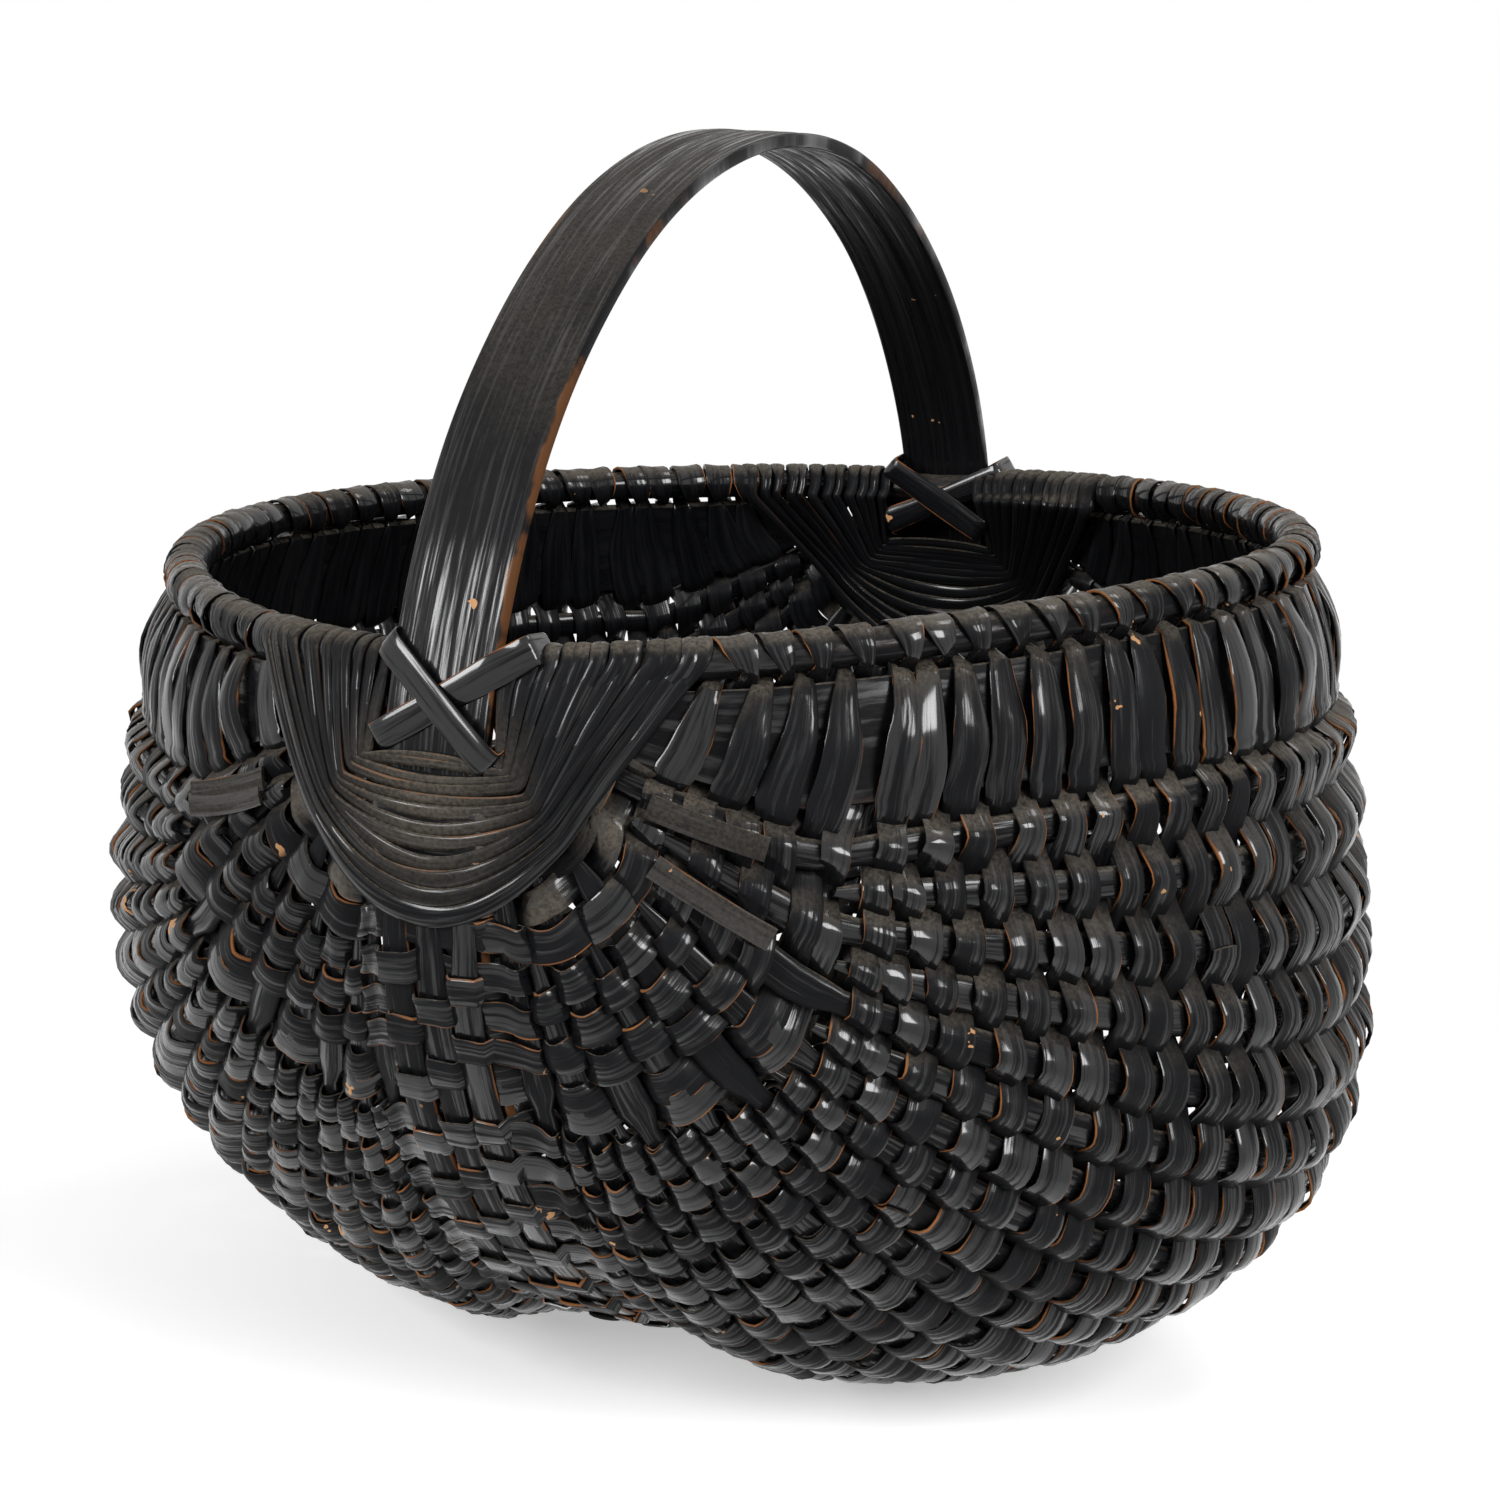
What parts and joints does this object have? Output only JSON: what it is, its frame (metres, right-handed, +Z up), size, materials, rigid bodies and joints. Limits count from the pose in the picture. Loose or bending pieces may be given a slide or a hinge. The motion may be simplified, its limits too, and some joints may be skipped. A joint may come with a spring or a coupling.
{
  "type": "woven splint buttocks basket",
  "caption": "Two-lobed gathering basket of split oak painted black: a flat hoop handle and spine, a round rim hoop, whittled ribs, woven splints and lashed ears.",
  "frame": {"origin": "centre of the bounding box at floor level, under the middle of the basket", "axes": "+X towards the right lobe, across the handle; +Y towards the far ear, along the handle; +Z up"},
  "size_m": [0.3642, 0.3486, 0.3436],
  "materials": {
    "hoop_oak": "black paint over split oak, satin, worn to bare wood along its arrises",
    "rim_oak": "black paint over a whittled oak rod, satin",
    "rib_oak": "black paint over whittled oak, satin, dusty",
    "lashing_oak": "black paint over thin oak splint, matt with dust",
    "weaver_oak": "black paint over thin oak splint, semi-gloss, worn at its folds"
  },
  "bodies": {
    "root": {"handle_hoop": "hoop_oak", "rim_hoop": "rim_oak", "side_rib_right": "rib_oak", "side_rib_left": "rib_oak", "rib_right_01": "rib_oak", "rib_right_02": "rib_oak", "rib_right_03": "rib_oak", "rib_right_04": "rib_oak", "rib_right_05": "rib_oak", "rib_right_06": "rib_oak", "rib_right_07": "rib_oak", "rib_right_08": "rib_oak", "rib_right_09": "rib_oak", "rib_right_10": "rib_oak", "rib_right_11": "rib_oak", "rib_right_12": "rib_oak", "rib_left_01": "rib_oak", "rib_left_02": "rib_oak", "rib_left_03": "rib_oak", "rib_left_04": "rib_oak", "rib_left_05": "rib_oak", "rib_left_06": "rib_oak", "rib_left_07": "rib_oak", "rib_left_08": "rib_oak", "rib_left_09": "rib_oak", "rib_left_10": "rib_oak", "rib_left_11": "rib_oak", "rib_left_12": "rib_oak", "near_ear_lashing": "lashing_oak", "near_ear_strap_under": "lashing_oak", "near_ear_strap_over": "lashing_oak", "far_ear_lashing": "lashing_oak", "far_ear_strap_under": "lashing_oak", "far_ear_strap_over": "lashing_oak", "weaver_01": "weaver_oak", "weaver_02": "weaver_oak", "weaver_03": "weaver_oak", "weaver_04": "weaver_oak", "weaver_05": "weaver_oak", "weaver_06": "weaver_oak", "weaver_07": "weaver_oak", "weaver_08": "weaver_oak", "weaver_09": "weaver_oak", "weaver_10": "weaver_oak", "weaver_11": "weaver_oak", "weaver_12": "weaver_oak", "weaver_13": "weaver_oak", "weaver_14": "weaver_oak", "weaver_15": "weaver_oak"}
  },
  "joints": []
}
